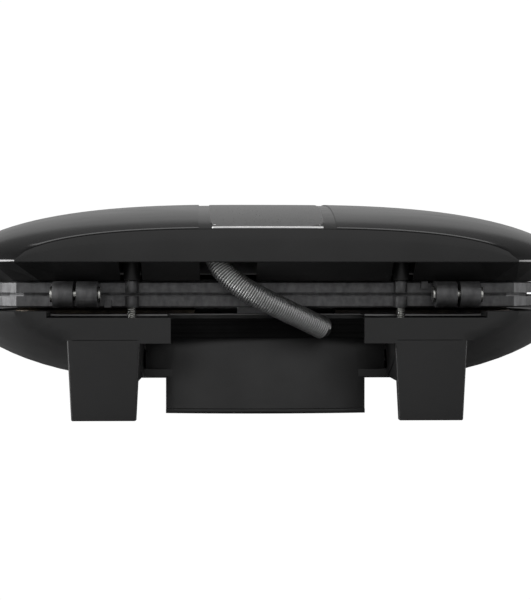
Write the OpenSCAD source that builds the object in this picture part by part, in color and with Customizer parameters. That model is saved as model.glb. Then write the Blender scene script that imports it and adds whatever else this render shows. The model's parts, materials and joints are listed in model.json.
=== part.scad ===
// Two-slice electric sandwich toaster: a base and a domed lid on a cast hinge.
// +X is to the right seen from the front, +Y is to the rear, +Z is up.
// The origin is the bottom centre of the closed toaster's box.

/* [Body] */
// Width of the closed toaster
body_w = 252; // [240:2:264]
// Front-to-rear size of the body's egg-shaped outline, before its rear is cut flat
body_d = 236; // [228:2:244]
// Height of the crown of the lid
crown_z = 86.5; // [84:0.5:92]
// Wall thickness of the moulded shells
wall = 2.5; // [2:0.1:3]

/* [Lid] */
// Height of the lid's lower edge
lid_edge_z = 58.8; // [58:0.1:60]
// Half the width of the channel along the lid's top, at the rear
channel_half = 25.6; // [22:0.2:28]
// Half the width of the metal inlay, at the rear
inlay_half = 21; // [18:0.5:21.5]
// How much the channel and the inlay widen on each side towards the handle
channel_flare = 3; // [1:0.5:4]

/* [Base] */
// Height of the base's upper edge
base_rim_z = 40.7; // [40:0.1:41]
// Height of the underside of the bowl above the table
bowl_z = 12.7; // [11:0.1:14]
// Depth of the rounded side of the bowl, measured inwards
bowl_round = 60; // [57:1:62]

/* [Hinge] */
// Height of the hinge axis and of the plane between the plates
axis_z = 46.8; // [46.6:0.1:47]
// Outside diameter of the cast knuckles
knuckle_d = 10; // [9.4:0.1:10.2]
// Diameter of the hinge pins
pin_d = 4; // [3:0.5:5]
// Radial running clearance of the lid's knuckles on the pins
pin_clear = 0.05; // [0.02:0.01:0.1]

/* [Plates] */
// Thickness of the plate's rim
rim_t = 4.3; // [4:0.1:4.4]
// Depth of the sandwich pockets
pocket_depth = 13; // [10:0.5:14]

/* [Lead] */
// Outside diameter of the spring sleeve
sleeve_d = 8; // [7:0.5:8.5]

/* [Hidden] */

$fn = 48;
rear_y = 120;                  // plane of both flat rear walls
plan_y = 21;                   // centre of the outline, front to rear
half_w = body_w / 2;
half_d = body_d / 2;
axis_y = 110;                  // hinge axis, in front of the rear walls
plate_rear_y = 102;            // rear edge of the plates
plate_inset = 12;              // plates are this much smaller than the body, all round
bowl_ease = 1.25;               // how straight the bowl's flank is, 1 for a quarter ellipse
half_gap = 0.7;                // from the parting plane to a plate's face
bead_h = 0.65;
crest_y = 5;                   // the crown is highest here
rear_fall = 0.26;              // share of the dome's height lost at the rear wall
front_fall = 0.2;              // and at the front
ring_n = 64;                   // points round each section of a shell
tiny = 0.01;

foot_x = 60.8;                 // centre of a rear foot at the table
foot_half = 12;                // half its width there
foot_half_top = 13.4;          // and where it meets the bowl
foot_depth = 33;
foot_plate = 4;                // thickness of a rear foot below the panel's lower edge
panel_low = 14.6;              // lower edge of the panel's wings
lug_x = 51.3;                  // screw lugs on the plates
lug_y = 104;
deep_notch = 36;               // half-width of the middle opening in the base's rear wall
notch_half = 81.8;             // half-width of the shallow notch beside it
notch_z = 38.2;
panel_top = 29.9;              // top of the cord-wrap panel
panel_y = 87;                  // its rear face beside the block
latch_y = -107.9;                // latch pin
latch_z = 63;
lens_y = 2;
front_foot_x = 80;
front_foot_y = -48;
element_r = 3.25;
element_x = 98;
element_rear = 76;
element_front = -42;
element_bend = 10;
element_gap = 28;              // half the opening in the element's rear leg
pocket_in = 5;                 // edges of a sandwich pocket, at the plate's face
pocket_out = 90;
pocket_front = -34;
pocket_rear = 69;
land = 3;                      // half-width of the cut-and-seal land across a pocket
front_screw = [42, -68];       // plate screws at the front
floor_screw = [70, 40];        // screws that hold the reflector on the bowl's floor
pad_t = 1.5;
panel_bow_r = 223;             // the panel bows 5 mm to the rear
panel_half = 47;
block_half = 39;
block_front_y = 80;
gland = [30, 40];               // inlet of the power lead, in the floor of the bowl
thread_r = 1.75;

// ---------- outline, sections and the dome ----------

// Distance from the outline's centre to its edge, in direction t, for half-sizes a and b
function edge_r(a, b, t) = pow(pow(abs(cos(t)) / a, 3) + pow(abs(sin(t)) / b, 3), -1 / 3);

// The same, with everything behind the plane y = cut taken off
function cut_r(a, b, t, cut) =
    sin(t) > 0.05 ? min(edge_r(a, b, t), (cut - plan_y) / sin(t)) : edge_r(a, b, t);

function plan_point(a, b, t, cut) = let (r = cut_r(a, b, t, cut)) [r * cos(t), plan_y + r * sin(t)];

// One level section through a shell: inset from the full outline, height, rear plane
function level(inset, z, cut) = [
    for (i = [0:ring_n - 1])
        let (p = plan_point(half_w - inset, half_d - inset, i * 360 / ring_n, cut)) [p.x, p.y, z]
];

// Share of the dome's height that is left at y, because it falls to the rear and to the front
function fall(y) =
    y > crest_y ? 1 - rear_fall * pow((y - crest_y) / (rear_y - crest_y), 1.2)
                : 1 - front_fall * pow((crest_y - y) / (crest_y - plan_y + half_d), 1.2);

// Height of the dome over its edge, where c is the cube of the share of the outline's size
function dome_share(c) = pow(max(0, 1 - c), 0.52);
function dome_z(x, y, drop) =
    lid_edge_z + (crown_z - lid_edge_z) * fall(y)
        * dome_share(pow(abs(x) / half_w, 3) + pow(abs(y - plan_y) / half_d, 3)) - drop;

// One section through the dome, at the share s of the outline's size
function dome_ring(s, inset, drop, cut) = [
    for (i = [0:ring_n - 1])
        let (p = plan_point(s * (half_w - inset), s * (half_d - inset), i * 360 / ring_n, cut))
            [p.x, p.y, lid_edge_z + (crown_z - lid_edge_z - drop) * fall(p.y) * dome_share(s * s * s)]
];

function backwards(list) = [for (k = [len(list) - 1:-1:0]) list[k]];
function middle(points) = [for (k = [0:2]) [for (p = points) p[k]] * [for (p = points) 1] / len(points)];

// A closed solid through a list of sections, each with n points, closed by a fan at each end.
// Sections run anticlockwise seen from above and their order goes up the outside.
module skin(rings) {
    n = len(rings[0]);
    last = len(rings) - 1;
    points = concat([for (r = rings) each r], [middle(rings[0]), middle(rings[last])]);
    first_mid = n * (last + 1);
    faces = concat(
        [for (k = [0:last - 1]) for (i = [0:n - 1]) let (j = (i + 1) % n)
            each [[k * n + i, (k + 1) * n + i, k * n + j], [k * n + j, (k + 1) * n + i, (k + 1) * n + j]]],
        [for (i = [0:n - 1]) [first_mid, i, (i + 1) % n]],
        [for (i = [0:n - 1]) [first_mid + 1, last * n + (i + 1) % n, last * n + i]]
    );
    polyhedron(points, faces, convexity = 8);
}

// A closed ring-shaped solid through sections that return to the first one
module hoop(rings) {
    n = len(rings[0]);
    m = len(rings);
    faces = [for (k = [0:m - 1]) for (i = [0:n - 1]) let (j = (i + 1) % n, q = (k + 1) % m)
        each [[k * n + i, q * n + i, k * n + j], [k * n + j, q * n + i, q * n + j]]];
    polyhedron([for (r = rings) each r], faces, convexity = 8);
}

// A slab that follows the dome between y0 and y1, half wide w, from drop_top to drop_low below it
module dome_slab(w, y0, y1, drop_top, drop_low) {
    nx = 8;
    ny = 20;
    rows = [for (k = [0:ny]) let (
        y = y0 + (y1 - y0) * k / ny,
        half = w + channel_flare * pow(max(0, rear_y - y) / (rear_y + 97), 0.7))
        [for (i = [0:nx]) let (x = half * (2 * i / nx - 1)) [x, y, dome_z(x, y, drop_top)]]];
    sections = [for (row = rows) concat(row,
        [for (i = [nx:-1:0]) [row[i].x, row[i].y, row[i].z + drop_top - drop_low]])];
    skin(sections);
}

// A tube swept along points, with its ends square to the run
function unit(v) = v / norm(v);
module sweep_tube(path, r, sides) {
    last = len(path) - 1;
    side = [0, 1, 0];
    rings = [for (k = [0:last]) let (
        run = unit(path[min(k + 1, last)] - path[max(k - 1, 0)]),
        u = unit(cross(run, side)),
        v = cross(run, u))
        [for (i = [0:sides - 1]) path[k] + r * (cos(i * 360 / sides) * u + sin(i * 360 / sides) * v)]];
    skin(rings);
}
function bezier(a, b, c, d, t) =
    pow(1 - t, 3) * a + 3 * t * pow(1 - t, 2) * b + 3 * t * t * (1 - t) * c + pow(t, 3) * d;

// The spring sleeve's run, from inside the lid down to the baffle in the base
sleeve_in_lid = [20, 107.5, 63.5];
sleeve_bow_lid = [18, 113.5, 49.8];
sleeve_bow_base = [-3, 113, 43.4];
sleeve_in_base = [-22, 99.5, 33.6];
function sleeve_point(t) = bezier(sleeve_in_lid, sleeve_bow_lid, sleeve_bow_base, sleeve_in_base, t);

module mirrored() {
    children();
    mirror([1, 0, 0]) children();
}

// One half of the front handle: a tongue with rounded front corners, between two heights
handle_root_y = -88;
function tongue(half, y_tip, inset, z) = let (
    r = 12, root = half - inset, x = 0.88 * half - r, y = y_tip + r)
    concat([[root, handle_root_y, z], [-root, handle_root_y, z]],
        [for (k = [0:6]) [-x - (r - inset) * cos(k * 15), y - (r - inset) * sin(k * 15), z]],
        [for (k = [0:6]) [x + (r - inset) * sin(k * 15), y - (r - inset) * cos(k * 15), z]]);
module handle_half(half, z0, z1, y_tip) {
    skin([tongue(half, y_tip, 2, z0), tongue(half, y_tip, 0, z0 + 2), tongue(half, y_tip, 0, z1 - 2),
        tongue(half, y_tip, 2, z1)]);
}

// ---------- base ----------

// Rear plane of the bowl at height z: flat above the crease, curving in below it
crease_z = 28;
function bowl_rear(z) =
    z >= crease_z ? rear_y
                  : rear_y / 2 + rear_y / 2 * sqrt(max(0, 1 - pow((crease_z - z) / (crease_z - bowl_z), 2)));
function bowl_level(turn, skin_t) = let (
    z = base_rim_z - (base_rim_z - bowl_z) * pow(sin(turn), bowl_ease))
    level(bowl_round * (1 - pow(cos(turn), bowl_ease)) + skin_t, z + skin_t * sin(turn),
        bowl_rear(z) - skin_t);

bowl_turns = [90, 70, 54, 40, 27, 16, 8, 0];
module bowl() {
    skin(concat([level(bowl_round + 40, bowl_z, 60)], [for (t = bowl_turns) bowl_level(t, 0)]));
}
module bowl_space() {
    skin(concat([level(bowl_round + 40, bowl_z + wall, 60)], [for (t = bowl_turns) bowl_level(t, wall)],
        [level(wall, base_rim_z + 5, rear_y - wall)]));
}
module rim_land() {
    top = base_rim_z - 0.4;
    hoop([level(1, top, rear_y - 1), level(13, top, 106), level(13, top - 1.8, 106),
        level(1, top - 1.8, rear_y - 1)]);
}
function foot_level(inset, z, depth) = let (
    half = foot_half + (foot_half_top - foot_half) * z / 27 - inset,
    y0 = rear_y - depth + inset, y1 = rear_y - inset)
    [for (p = [[-half, y0], [half, y0], [half, y1], [-half, y1]]) [foot_x + p.x, p.y, z]];
module foot_solid(inset, z0, z1, depth) {
    skin([foot_level(inset, z0, depth), foot_level(inset, z1, depth)]);
}
module base_bores() {
    mirrored() {
        translate([lug_x, lug_y, 28]) cylinder(h = 20, r = thread_r);
        translate([front_screw.x, front_screw.y, 24]) cylinder(h = 30, r = thread_r);
    }
    for (x = [-1, 1], y = [-20, floor_screw.y])
        translate([x * floor_screw.x, y, bowl_z + wall]) cylinder(h = 20, r = 1.3);
    translate([gland.x, gland.y, 0]) cylinder(h = 30, r = 5.5);
}
module base_shell() {
    color([0.05, 0.05, 0.052])
    difference() {
        union() {
            difference() {
                union() {
                    bowl();
                    mirrored() {
                        foot_solid(0, panel_low, 27, foot_depth);
                        foot_solid(0, 0, panel_low + 2, foot_plate);
                        translate([front_foot_x, front_foot_y, pad_t]) cylinder(h = 25, r = 9);
                    }
                    handle_half(30, 28.3, base_rim_z - 0.8, -110);
                }
                bowl_space();
                mirrored() {
                    foot_solid(wall, panel_low + wall, 36, foot_depth);
                }
                translate([-deep_notch, 88, -1]) cube([2 * deep_notch, 40, 60]);
                translate([foot_half_top - foot_x, 89, -1]) cube([2 * (foot_x - foot_half_top), 40, 29.7]);
                mirrored() {
                    translate([0, 100, notch_z]) cube([notch_half, 30, 10]);
                }
            }
            difference() {
                rim_land();
                translate([-notch_half, 90, 0]) cube([2 * notch_half, 40, 60]);
            }
            mirrored() {
                translate([lug_x, lug_y, 20]) cylinder(h = 16, r = 3.2);
                translate([lug_x - 2, lug_y, 20]) cube([4, rear_y - wall - lug_y + 0.5, 15]);
                translate([front_screw.x, front_screw.y, 18]) cylinder(h = 23.4, r = 3.5);
            }
            for (x = [-1, 1], y = [-20, floor_screw.y])
                translate([x * floor_screw.x, y, bowl_z + 1]) cylinder(h = 24.8 - bowl_z - 1, r = 4);
        }
        base_bores();
        // catch for the latch clip's hook
        translate([-12, -111, 20]) cube([24, 6, 13.4]);
    }
}

// The cord-wrap panel and its block, bowed to the rear
module bowed(half, front, r) {
    intersection() {
        translate([0, panel_y + 5 - panel_bow_r]) circle(r = r, $fn = 180);
        translate([-half, front]) square([2 * half, 60]);
    }
}
module cord_wrap_panel() {
    color([0.048, 0.048, 0.05]) {
        translate([0, 0, panel_low])
            linear_extrude(panel_top - panel_low)
                difference() {
                    bowed(panel_half, 82, panel_bow_r);
                    bowed(panel_half + 1, 80, panel_bow_r - 2.2);
                }
        translate([0, 0, 2])
            linear_extrude(12.6 + 1)
                difference() {
                    bowed(block_half, block_front_y, panel_bow_r);
                    bowed(block_half - 2, block_front_y + 2, panel_bow_r - 2);
                }
        translate([0, 0, 0.3])
            linear_extrude(1.8)
                bowed(block_half, block_front_y, panel_bow_r + 0.8);
    }
}

module rear_baffle() {
    color([0.02, 0.02, 0.02])
    difference() {
        union() {
            translate([-46, 92.5, 30]) cube([92, 2, 7.4]);
            translate([-46, 84.6, 30]) cube([92, 9, 1.2]);
            for (z = [32, 35.2])
                translate([-46, 94.4, z]) cube([92, 0.8, 0.8]);
        }
        translate([sleeve_in_base.x, 80, sleeve_in_base.z]) rotate([-90, 0, 0]) cylinder(h = 30, r = 2.4);
    }
}

// A reflector pan under the plate, with its flange upwards
module pan(z_flange, z_floor) {
    t = 0.8;
    difference() {
        skin([level(60, z_floor, 60), level(24, z_floor, 82), level(16.2, z_flange - t, 84),
            level(14, z_flange - t, 98), level(14, z_flange, 98), level(16.2 + t, z_flange, 84 - t),
            level(24 + t, z_floor + t, 82 - t), level(60, z_floor + t, 60)]);
        mirrored()
            translate([front_screw.x, front_screw.y, 0]) cylinder(h = 60, r = 4.2);
        for (x = [-1, 1], y = [-20, floor_screw.y])
            translate([x * floor_screw.x, y, 0]) cylinder(h = 60, r = 1.5);
        translate([-deep_notch - 2, 84.5, 0]) cube([2 * deep_notch + 4, 40, 60]);
    }
}
module lower_reflector() {
    color([0.62, 0.62, 0.6]) pan(39.2, 24.8);
}

// One triangle of a pocket's outline, shrunk by the inset from its edges
function pocket_corner(first, inset) = let (
    x0 = pocket_in + inset, x1 = pocket_out - inset, y0 = pocket_front + inset, y1 = pocket_rear - inset,
    k = (land + inset) * 1.25)
    first ? [[x0, y0 + 1.3 * k], [x0, y1], [x1 - k, y1]] : [[x0 + k, y0], [x1, y0], [x1, y1 - 1.3 * k]];
module pocket_hollow(first) {
    hull()
        for (step = [[0, -1], [2, 4], [8, pocket_depth]])
            translate([0, 0, axis_z - half_gap - step.y])
                linear_extrude(tiny) polygon(pocket_corner(first, step.x));
}
// The outside of one pocket pair, a rounded tub behind the rim
module pocket_tub(low) {
    floor_z = axis_z - half_gap - pocket_depth - 2;
    hull()
        for (step = [[5.5, low - 1], [11, floor_z]], x = [pocket_in, pocket_out],
            y = [pocket_front, pocket_rear])
            translate([x + sign(pocket_out / 2 - x) * step.x, y + sign(9 - y) * step.x, step.y])
                cylinder(h = 1.5, r = 8, $fn = 24);
}
module lug_arm(x0, y1) {
    translate([x0, 98, axis_z - half_gap - rim_t]) cube([5, y1 - 98, rim_t]);
}
// The plate casting, made as the lower one; both hinge halves carry the same casting
module plate_casting() {
    face = axis_z - half_gap;
    low = face - rim_t;
    // a low bead set in from the plate's edge, which all but meets the other plate's
    out = plate_inset + 3;
    y = plate_rear_y - 3;
    difference() {
        union() {
            skin([level(60, low, 60), level(plate_inset + 0.6, low, plate_rear_y - 0.6),
                level(plate_inset, low + 0.6, plate_rear_y), level(plate_inset, face, plate_rear_y),
                level(out, face, y), level(out, face + bead_h, y), level(out + 2, face + bead_h, y - 2),
                level(out + 2, face, y - 2), level(60, face, 60)]);
            mirrored()
                pocket_tub(low);
            mirrored() {
                lug_arm(lug_x - 2.5, lug_y);
                translate([lug_x, lug_y, low]) cylinder(h = rim_t, r = 2.5);
            }
            // knuckle arms: the inner one on the right, the outer one on the left
            for (x = [63.7, -80.4]) {
                long = x > 0 ? 7.8 : 7.6;
                translate([x, axis_y, axis_z]) rotate([0, 90, 0]) cylinder(h = long, d = knuckle_d);
                translate([x, 98, low]) cube([long, axis_y - 98, rim_t]);
            }
            translate([59.2, 101, low]) cube([2.6, 2.6, 2.8]);
        }
        for (first = [true, false])
            mirrored() pocket_hollow(first);
        translate([-90, axis_y, axis_z]) rotate([0, 90, 0])
            cylinder(h = 180, r = pin_d / 2 + pin_clear);
        mirrored() {
            translate([lug_x, lug_y, low - 1]) cylinder(h = rim_t, r = thread_r);
            translate([front_screw.x, front_screw.y, low - 1]) cylinder(h = rim_t - 0.5, r = thread_r);
        }
    }
}
module lower_plate() {
    color([0.2, 0.2, 0.2]) plate_casting();
}

// The tubular element: a loop round both pockets, open at the middle of its rear leg
function element_corner(cx, cy, start) = [
    for (k = [0:6]) [cx + element_bend * cos(start + k * 15), cy + element_bend * sin(start + k * 15)]];
function element_run() = let (
    x = element_x - element_bend, y0 = element_front + element_bend, y1 = element_rear - element_bend)
    concat([for (s = [0, 0.5]) [-element_gap - s * (x - element_gap), element_rear]],
        [for (k = [0:6]) [-x - element_bend * sin(k * 15), y1 + element_bend * cos(k * 15)]],
        [for (k = [0:6]) [-x - element_bend * cos(k * 15), y0 - element_bend * sin(k * 15)]],
        [for (k = [0:6]) [x + element_bend * sin(k * 15), y0 - element_bend * cos(k * 15)]],
        [for (k = [0:6]) [x + element_bend * cos(k * 15), y1 + element_bend * sin(k * 15)]],
        [for (s = [0.5, 0]) [element_gap + s * (x - element_gap), element_rear]]);
module flat_tube(path, z, r, sides) {
    last = len(path) - 1;
    rings = [for (k = [0:last]) let (
        a = path[max(k - 1, 0)],
        b = path[min(k + 1, last)],
        run = (b - a) / norm(b - a),
        out = [-run.y, run.x])
        [for (i = [0:sides - 1]) let (p = path[k] + r * cos(i * 360 / sides) * out)
            [p.x, p.y, z + r * sin(i * 360 / sides)]]];
    skin(rings);
}
element_z = axis_z - half_gap - rim_t - element_r - 0.05;
module element() {
    flat_tube(element_run(), element_z, element_r, 10);
    mirrored()
        translate([element_gap - 8, element_rear, element_z]) rotate([0, 90, 0]) cylinder(h = 8.2, r = 1.2);
}
module lower_element() {
    color([0.45, 0.42, 0.4]) element();
}
module element_clamp() {
    half = element_r + 0.15;
    z = element_z - element_r - 0.1;
    translate([-half - 1.2, 0, z - 1.2]) cube([2 * half + 2.4, 8, 1.2]);
    for (x = [-half - 1.2, half])
        translate([x, 0, z]) cube([1.2, 8, axis_z - half_gap - rim_t - z]);
}
module element_clamps() {
    for (x = [-1, 1], y = [-10, 40])
        translate([x * element_x, y, 0]) element_clamp();
    for (x = [-54, 46])
        translate([x, element_front, 0]) rotate([0, 0, -90]) element_clamp();
}
module lower_element_clamps() {
    color([0.6, 0.6, 0.58]) element_clamps();
}

module thermostat() {
    color([0.85, 0.83, 0.78]) translate([-11, 72.6, 30]) cube([22, 7, 11.7]);
    color([0.7, 0.7, 0.68]) translate([-7, 72.6, 27]) cube([14, 7, 3]);
}
module thermal_fuse() {
    color([0.9, 0.9, 0.88]) translate([-40, 79.5, 22]) rotate([0, 90, 0]) cylinder(h = 14, r = 1.8);
    color([0.7, 0.7, 0.7]) translate([-45, 79.5, 22]) rotate([0, 90, 0]) cylinder(h = 24, r = 0.5);
}
module terminal_block() {
    color([0.9, 0.89, 0.85])
    difference() {
        translate([-17, 34, bowl_z + wall]) cube([34, 15, 8]);
        for (x = [-11, 0, 11])
            translate([x, 30, bowl_z + wall + 4]) rotate([-90, 0, 0]) cylinder(h = 30, r = 1.8);
    }
}
// The gland that the power lead would enter by, in the floor of the bowl
module lead_gland() {
    color([0.04, 0.04, 0.04]) translate([gland.x, gland.y, bowl_z - 4])
    difference() {
        union() {
            cylinder(h = 12, r = 5.5);
            cylinder(h = 4, r = 7.5);
            translate([0, 0, 4 + wall + 0.3]) cylinder(h = 2, r = 6.6);
        }
        translate([0, 0, -1]) cylinder(h = 20, r = 3.5);
    }
}
module earth_tag() {
    color([0.75, 0.65, 0.3]) translate([-28, 40, bowl_z + wall]) {
        cube([7, 10, 0.8]);
        translate([3, 5, 0]) cylinder(h = 3, r = 2.6);
    }
}
module base_wires() {
    color([0.6, 0.15, 0.1])
        sweep_tube([for (t = [0:0.1:1])
            bezier([11, 49.5, 19.2], [12, 60, 18], [36, 62, 20], [34, 79.4, 21], t)],
            1.3, 8);
    color([0.1, 0.2, 0.6])
        sweep_tube([for (t = [0:0.1:1])
            bezier([-11, 49.5, 19.2], [-14, 60, 18], [-52, 60, 20], [-47, 79.4, 21], t)],
            1.3, 8);
}
module foot_pads() {
    color([0.03, 0.03, 0.03])
        mirrored() translate([front_foot_x, front_foot_y, 0]) cylinder(h = pad_t, r = 8);
}
module base_screws() {
    color([0.7, 0.7, 0.68])
        for (x = [-1, 1], y = [-20, floor_screw.y])
            translate([x * floor_screw.x, y, 0]) {
                translate([0, 0, 25.6]) cylinder(h = 1.6, r = 2.8);
                translate([0, 0, 17]) cylinder(h = 8.7, r = 1.3);
            }
}
module lower_plate_screws() {
    color([0.7, 0.7, 0.68])
        mirrored() {
            translate([lug_x, lug_y, 30]) cylinder(h = 14.6, r = thread_r);
            translate([front_screw.x, front_screw.y, 26]) cylinder(h = 18.4, r = thread_r);
        }
}
module hinge_pin(side) {
    color([0.55, 0.55, 0.55])
        translate([side * 72.05, axis_y, axis_z]) rotate([0, 90, 0]) {
            translate([0, 0, -8.9]) cylinder(h = 17.8, d = pin_d);
            for (z = [-9.4, 8.5])
                translate([0, 0, z]) cylinder(h = 0.9, r = 3);
        }
}
module hinge_pin_left() {
    hinge_pin(-1);
}
module hinge_pin_right() {
    hinge_pin(1);
}
module base_ferrule() {
    color([0.03, 0.03, 0.03])
        translate([sleeve_in_base.x, 90, sleeve_in_base.z]) rotate([-90, 0, 0])
            difference() {
                union() {
                    cylinder(h = 6, r = 2.4);
                    translate([0, 0, 4.5]) cylinder(h = 1.6, r = 3.4);
                    cylinder(h = 2.4, r = 3.4);
                }
                translate([0, 0, -1]) cylinder(h = 20, r = 1.8);
            }
}
module spring_sleeve() {
    path = [for (k = [0:22]) sleeve_point(k / 22)];
    color([0.6, 0.6, 0.6])
    difference() {
        sweep_tube(path, sleeve_d / 2, 16);
        sweep_tube(concat([path[0] * 1.2 - path[1] * 0.2], path, [path[22] * 1.2 - path[21] * 0.2]),
            sleeve_d / 2 - 0.8, 10);
    }
}
module link_wires() {
    color([0.75, 0.72, 0.65]) sweep_tube([for (k = [0:16]) sleeve_point(k / 16)], 1.7, 8);
}

// ---------- lid ----------

dome_steps = [1, 0.998, 0.99, 0.97, 0.94, 0.9, 0.84, 0.76, 0.65, 0.5, 0.3, 0.1];
// A screw boss that hangs from the inside of the dome
module lid_boss(x, y, z, r) {
    translate([x, y, z]) cylinder(h = dome_z(x, y, 1.2) - z, r = r);
}
module lid_shell() {
    color([0.035, 0.035, 0.037])
    difference() {
        union() {
            skin(concat(backwards([for (s = dome_steps) dome_ring(s, wall, wall, rear_y - wall)]),
                [for (s = dome_steps) dome_ring(s, 0, 0, rear_y)]));
            mirrored() {
                lid_boss(lug_x, lug_y, 52, 3.1);
                lid_boss(front_screw.x, front_screw.y, 52.2, 3.5);
                for (y = [-20, floor_screw.y])
                    lid_boss(floor_screw.x, y, 68.85, 4);
            }
            handle_half(33, lid_edge_z, 68, -112.5);
        }
        dome_slab(channel_half, -99, 121, -12, 0.8);
        translate([0, lens_y, 60]) cylinder(h = 40, r = 2.8);
        mirrored() {
            translate([lug_x, lug_y, 50]) cylinder(h = 14, r = thread_r);
            translate([front_screw.x, front_screw.y, 50]) cylinder(h = 14, r = thread_r);
        }
        for (x = [-1, 1], y = [-20, floor_screw.y])
            translate([x * floor_screw.x, y, 60]) cylinder(h = 17, r = 1.3);
        // slot and bore for the latch clip and its pin
        translate([-11, -116, 50]) cube([22, 13.5, 30]);
        translate([-17, latch_y, latch_z]) rotate([0, 90, 0]) cylinder(h = 34, r = 1.5);
    }
}
module lid_ring() {
    color([0.02, 0.02, 0.02])
    difference() {
        hoop([level(2.7, 58.9, 117.3), level(2.7, 60.4, 117.3), level(11.2, 53.4, 107),
            level(11.2, 51.95, 107)]);
        translate([4, 100, 40]) cube([21.4, 30, 40]);
        mirrored() translate([lug_x - 4.2, lug_y - 5, 40]) cube([8.4, 30, 40]);
        translate([-35, -100, lid_edge_z - 0.5]) cube([70, 16, 5]);
    }
}
module inlay_plate() {
    color([0.7, 0.7, 0.7])
    difference() {
        dome_slab(inlay_half, -70, 117.2, 0.1, 0.66);
        translate([0, lens_y, 60]) cylinder(h = 40, r = 2.8);
    }
}
module inlay_trim() {
    color([0.8, 0.8, 0.8]) dome_slab(inlay_half, 117.4, 119.2, 0, 0.66);
}
module pilot_lens() {
    color([0.12, 0.03, 0.02]) translate([0, lens_y, 81]) {
        cylinder(h = crown_z - 81, r = 2.75);
        cylinder(h = 1.2, r = 4);
    }
}
module pilot_lamp() {
    color([0.8, 0.5, 0.35]) translate([0, lens_y, 70.5]) {
        cylinder(h = 8, r = 2.5);
        for (x = [-1, 1])
            translate([x, 0, -1.4]) cylinder(h = 2, r = 0.3);
    }
}
module turned_over() {
    translate([0, 0, 2 * axis_z]) rotate([0, 180, 0]) children();
}
module upper_reflector() {
    color([0.62, 0.62, 0.6]) turned_over() pan(39.2, 24.8);
}
module upper_plate() {
    color([0.2, 0.2, 0.2]) turned_over() plate_casting();
}
module upper_element() {
    color([0.45, 0.42, 0.4]) turned_over() element();
}
module upper_element_clamps() {
    color([0.6, 0.6, 0.58]) turned_over() element_clamps();
}
module upper_plate_screws() {
    color([0.7, 0.7, 0.68])
        mirrored() {
            translate([lug_x, lug_y, 2 * axis_z - 44.6]) cylinder(h = 14, r = thread_r);
            translate([front_screw.x, front_screw.y, 2 * axis_z - 44.4]) cylinder(h = 14, r = thread_r);
        }
}
module lid_screws() {
    color([0.7, 0.7, 0.68])
        for (x = [-1, 1], y = [-20, floor_screw.y])
            translate([x * floor_screw.x, y, 0]) {
                translate([0, 0, 66.4]) cylinder(h = 1.6, r = 2.8);
                translate([0, 0, 67.9]) cylinder(h = 8.6, r = 1.3);
            }
}
module lid_ferrule() {
    color([0.03, 0.03, 0.03])
        translate([sleeve_in_lid.x, sleeve_in_lid.y, 66.3])
            difference() {
                cylinder(h = 3.2, r = 3.6);
                translate([0, 0, -1]) cylinder(h = 10, r = 1.8);
            }
}
lid_wire = [[20, 107.5, 70.9], [20, 95, 72], [2, 50, 75], [1, 6.2, 70.3]];
module lid_wires() {
    color([0.6, 0.15, 0.1])
        sweep_tube([for (t = [0:0.1:1]) bezier(lid_wire[0], lid_wire[1], lid_wire[2], lid_wire[3], t)],
            1.2, 8);
}
module latch_pin() {
    color([0.6, 0.6, 0.6])
        translate([-17, latch_y, latch_z]) rotate([0, 90, 0]) cylinder(h = 34, r = 1.5);
}
// The latch clip, modelled swung out by its rest angle so that the lid is free to open
latch_rest = 10;
module latch_clip() {
    color([0.05, 0.05, 0.052])
        translate([0, latch_y, latch_z]) rotate([-latch_rest, 0, 0])
            difference() {
                union() {
                    translate([-10, 0, 0]) rotate([0, 90, 0]) cylinder(h = 20, r = 3.8);
                    translate([-10, -6.5, -4]) cube([20, 6.5, 6]);
                    translate([-10, -6.5, -33]) cube([20, 2.3, 32]);
                    translate([-10, -6.5, -33]) cube([20, 8, 3.4]);
                }
                translate([-20, 0, 0]) rotate([0, 90, 0]) cylinder(h = 40, r = 1.55);
            }
}

base_shell();
cord_wrap_panel();
rear_baffle();
lower_reflector();
lower_plate();
lower_element();
lower_element_clamps();
thermostat();
thermal_fuse();
terminal_block();
lead_gland();
earth_tag();
base_wires();
foot_pads();
base_screws();
lower_plate_screws();
hinge_pin_left();
hinge_pin_right();
base_ferrule();
spring_sleeve();
link_wires();
lid_shell();
lid_ring();
inlay_plate();
inlay_trim();
pilot_lens();
pilot_lamp();
upper_reflector();
upper_plate();
upper_element();
upper_element_clamps();
upper_plate_screws();
lid_screws();
lid_ferrule();
lid_wires();
latch_pin();
latch_clip();
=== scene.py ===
# The looks of a closed two-slice sandwich toaster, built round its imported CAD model.
# Shapes are worked out in millimetres, in the model's own frame, and written in metres.
import json
import math

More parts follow.
